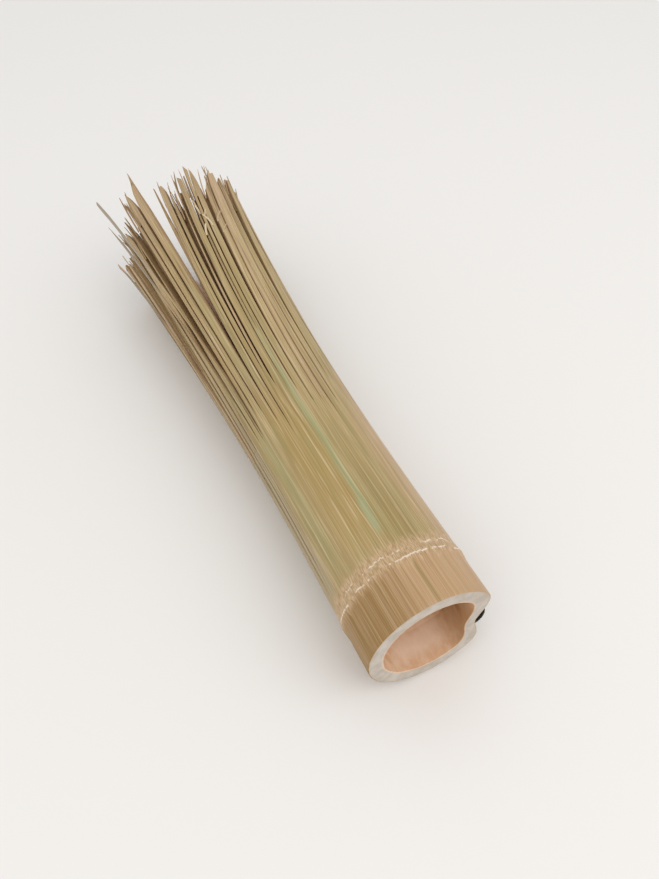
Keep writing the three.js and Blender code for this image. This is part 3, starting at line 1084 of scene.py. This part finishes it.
def add_parting_strip(shape):
    """The single narrow strip that stands in the parting."""
    fibre = Fibre(
        bearings=(PARTING_BEARING + 1.5, PARTING_STRIP_BEARING),
        distances=(118.0, PARTING_STRIP_TIP_Y),
        heights=(-3.0, 0.3),
        width=1.7,
        thickness=1.1,
        tone=0.6,
        curl=1.8,
    )
    add_fibre(shape, fibre, 0.0, PARTING_STRIP_LEAN)


def add_chips(shape, strip, draw):
    """Broken pale curls on a tine near its tip."""
    for _ in range(draw.choice([1, 2, 3])):
        bearing = strip.middle() + draw.uniform(-2.0, 2.0)
        start = draw.uniform(*CHIP_DISTANCES)
        fibre = Fibre(
            bearings=(bearing, bearing + draw.uniform(-6.0, 6.0)),
            distances=(start, start + draw.uniform(4.0, 9.0)),
            heights=(-0.2, draw.uniform(0.8, 2.4)),
            width=draw.uniform(0.5, 1.1),
            thickness=0.25,
            tone=draw.uniform(-2.0, -1.3),
            curl=2.2,
            end_width=0.7,
        )
        add_fibre(shape, fibre, strip.flare, strip.lean)


def splint_piece(name, members):
    shape = Shape()
    draw = random.Random(name)
    for i, strip in enumerate(members):
        add_strip(shape, strip)
        if name.startswith("stray"):
            continue
        if name != TALL_BLADE:
            add_whiskers(shape, strip, draw)
        for slit in (strip.high, strip.low):
            if slit.gape > MIN_BACKED_GAPE and slit.root != PARTING_BEARING:
                add_backing(shape, strip, slit, 2 * slit.gape, draw)
        if i == 0 and sector_of(name) in STRAY_FLARE:
            add_backing(shape, strip, strip.low, STRAY_WIDTH + 2.0, draw)
        if CHIP_BEARINGS[0] < strip.middle() < CHIP_BEARINGS[1]:
            add_chips(shape, strip, draw)
        if strip.low.root == PARTING_BEARING:
            add_parting_strip(shape)
    piece = shape.make(name.replace("splint_", "tines_").replace("stray_strip_", "stray_tine_"), BAMBOO)
    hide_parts(name)
    root = place(members[0].middle(), HANDLE_LENGTH, ROOT_RADIUS)
    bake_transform(piece)
    return piece


# ------------------------------------------------------ the cord

STRANDS = 3
STRAND_SHARE = 0.56  # a strand's radius as a share of the cord's
STRAND_SIDES = 10
SPAN_STEPS = 16
KNOT_STEPS = 60


def beside_hole(out, up, y):
    """A point beside the culm, in mm from the axis: out along the cord's hole, up from it and along."""
    hole = math.radians(GROOVE_BEARING)
    across = Vector((math.sin(hole), 0.0, math.cos(hole)))
    upwards = Vector((-math.cos(hole), 0.0, math.sin(hole)))
    return across * out + upwards * up + Vector((0.0, y, 0.0))


def cord_route():
    """The cord's way out of its hole, along the culm, down to the ground and home, as in the CAD."""
    beside = CULM_RADIUS + NODE_SWELL + CORD_RADIUS + 0.5
    ground = CORD_RADIUS - AXIS_HEIGHT + 0.15
    near = CORD_HOLE_Y - CORD_LEG_OFFSET
    far = CORD_HOLE_Y + CORD_LEG_OFFSET
    knot_face = KNOT_OUT + 0.5
    return [
        beside_hole(knot_face, 0, near),
        beside_hole(19, 0, near),
        beside_hole(beside - 1.5, 0, near),
        beside_hole(beside - 0.7, -2.5, near - 3.2),
        beside_hole(beside, -8.5, 5.8),
        beside_hole(beside - 1.3, -17, 7.5),
        Vector((beside + 1, 13, ground + 3)),
        Vector((beside + 3.5, 30, ground)),
        Vector((beside + 5, 58, ground)),
        Vector((beside + 1.2, 69, ground)),
        Vector((beside - 1.8, 58, ground)),
        Vector((beside - 1.6, 36, ground + 1)),
        beside_hole(beside + 0.6, -13, 23),
        beside_hole(beside + 0.5, -4.5, far + 2.6),
        beside_hole(beside - 1.5, -0.3, far),
        beside_hole(19, 0, far),
        beside_hole(knot_face, 0, far),
    ]


def smooth_path(points, step):
    """Points evenly spaced along a centripetal Catmull-Rom curve."""
    ends = [points[0] * 2 - points[1]] + points + [points[-1] * 2 - points[-2]]
    fine = []
    for a, b, c, d in zip(ends, ends[1:], ends[2:], ends[3:]):
        ta = 0.0
        tb = ta + math.sqrt((b - a).length)
        tc = tb + math.sqrt((c - b).length)
        td = tc + math.sqrt((d - c).length)
        for i in range(SPAN_STEPS):
            t = lerp(tb, tc, i / SPAN_STEPS)
            p = a.lerp(b, (t - ta) / (tb - ta))
            q = b.lerp(c, (t - tb) / (tc - tb))
            r = c.lerp(d, (t - tc) / (td - tc))
            leaving = p.lerp(q, (t - ta) / (tc - ta))
            arriving = q.lerp(r, (t - tb) / (td - tb))
            fine.append(leaving.lerp(arriving, (t - tb) / (tc - tb)))
    fine.append(points[-1])
    return resampled(fine, step)


def resampled(points, step):
    """Points about step apart along a line of straight lengths."""
    total = sum((b - a).length for a, b in zip(points, points[1:]))
    count = max(2, round(total / step))
    result = [points[0]]
    travelled = 0.0
    index = 0
    for i in range(1, count):
        target = total * i / count
        while travelled + (points[index + 1] - points[index]).length < target:
            travelled += (points[index + 1] - points[index]).length
            index += 1
        span = (points[index + 1] - points[index]).length
        result.append(points[index].lerp(points[index + 1], (target - travelled) / span))
    return result + [points[-1]]


def frames_along(path):
    """A steady pair of cross directions at each point of a path."""
    last = len(path) - 1
    tangents = [(path[min(i + 1, last)] - path[max(i - 1, 0)]).normalized() for i in range(len(path))]
    side = tangents[0].orthogonal().normalized()
    frames = []
    for before, tangent in zip([tangents[0]] + tangents, tangents):
        side = before.rotation_difference(tangent) @ side
        side = (side - tangent * side.dot(tangent)).normalized()
        frames.append((side, tangent.cross(side)))
    return frames


def add_twisted_cord(shape, path, radius, lay):
    """Strands laid round each other; lay is the length of one full turn, in millimetres."""
    frames = frames_along(path)
    strand_radius = radius * STRAND_SHARE
    offset = radius - strand_radius
    travelled = [0.0]
    for a, b in zip(path, path[1:]):
        travelled.append(travelled[-1] + (b - a).length)
    for strand in range(STRANDS):
        rings = []
        for point, (side, other), length in zip(path, frames, travelled):
            turn = math.tau * (length / lay + strand / STRANDS)
            centre = point + (side * math.cos(turn) + other * math.sin(turn)) * offset
            ring = []
            for i in range(STRAND_SIDES):
                angle = math.tau * i / STRAND_SIDES
                corner = centre + (side * math.cos(angle) + other * math.sin(angle)) * strand_radius
                ring.append(shape.corner(AXIS + corner * MM, tuple(corner)))
            rings.append(ring)
        shape.tube(rings, [0] * STRAND_SIDES)


def hanging_cord():
    shape = Shape()
    add_twisted_cord(shape, smooth_path(cord_route(), 0.45), CORD_RADIUS, 3.6)
    return shape.make("cord_loop", CORD_LOOKS)


def stopper_knot():
    """An overhand knot in the end of the cord, inside the bore."""
    shape = Shape()
    centre = beside_hole(KNOT_OUT, 0, CORD_HOLE_Y)
    path = []
    for i in range(KNOT_STEPS + 1):
        angle = math.tau * i / KNOT_STEPS
        across = math.sin(angle) + 2 * math.sin(2 * angle)
        along = math.cos(angle) - 2 * math.cos(2 * angle)
        path.append(centre + Vector((-math.sin(3 * angle) * 0.9, along * 0.62, across * 0.52)))
    add_twisted_cord(shape, smooth_path(path, 0.4), CORD_RADIUS * 0.9, 3.2)
    return shape.make("cord_stopper_knot", CORD_LOOKS)


# -------------------------------------------- building the brush


def dress(piece, body, node):
    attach(piece, body)
    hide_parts(node)


dress(culm(), "handle", "culm_handle")
dress(septum(), "handle", "node_septum")
dress(hanging_cord(), "cord", "hanging_cord")
dress(stopper_knot(), "cord", "cord_knot")
for splint in sorted({strip.splint for strip in strips}):
    splint_piece(splint, [strip for strip in strips if strip.splint == splint])


# ---------------------------------------------------- the studio


def studio_floor():
    mesh = bpy.data.meshes.new("floor")
    reach = 40.0
    corners = [(-reach, -reach, 0), (reach, -reach, 0), (reach, reach, 0), (-reach, reach, 0)]
    mesh.from_pydata(corners, [], [(0, 1, 2, 3)])
    paper = bpy.data.materials.new("floor")
    paper.use_nodes = True
    surface = node_of(paper.node_tree, "BSDF_PRINCIPLED")
    surface.inputs["Base Color"].default_value = (0.84, 0.815, 0.785, 1.0)
    surface.inputs["Roughness"].default_value = 0.95
    mesh.materials.append(paper)
    add_object("floor", mesh)


def soft_light(name, spot, size, power):
    """A round light at a spot, in metres, that faces the brush."""
    lamp = bpy.data.lights.new(name, "AREA")
    lamp.shape = "DISK"
    lamp.size = size
    lamp.energy = power
    lamp.color = (1.0, 0.97, 0.93)
    light = add_object(name, lamp)
    light.location = Vector(spot)
    light.rotation_euler = (-light.location).to_track_quat("-Z", "Y").to_euler()


def studio_world():
    world = bpy.data.worlds.new("studio")
    world.use_nodes = True
    background = node_of(world.node_tree, "BACKGROUND")
    background.inputs[0].default_value = (0.98, 0.99, 1.0, 1.0)
    background.inputs[1].default_value = 0.9
    bpy.context.scene.world = world


def studio_camera():
    lens = bpy.data.cameras.new("camera")
    lens.sensor_width = SENSOR
    lens.lens = FOCAL_LENGTH_PX / FRAME_HEIGHT_PX * SENSOR
    camera = add_object("camera", lens)
    camera.location = AXIS + CAMERA_PLACE * MM
    camera.rotation_euler = CAMERA_SIGHT.to_track_quat("-Z", "Y").to_euler()
    bpy.context.scene.camera = camera


studio_floor()
studio_world()
soft_light("key", (0.45, -0.7, 0.85), size=1.0, power=2.7)
soft_light("fill", (-0.8, -0.5, 0.8), size=1.2, power=1.5)
studio_camera()
bpy.context.scene.view_settings.view_transform = "Standard"
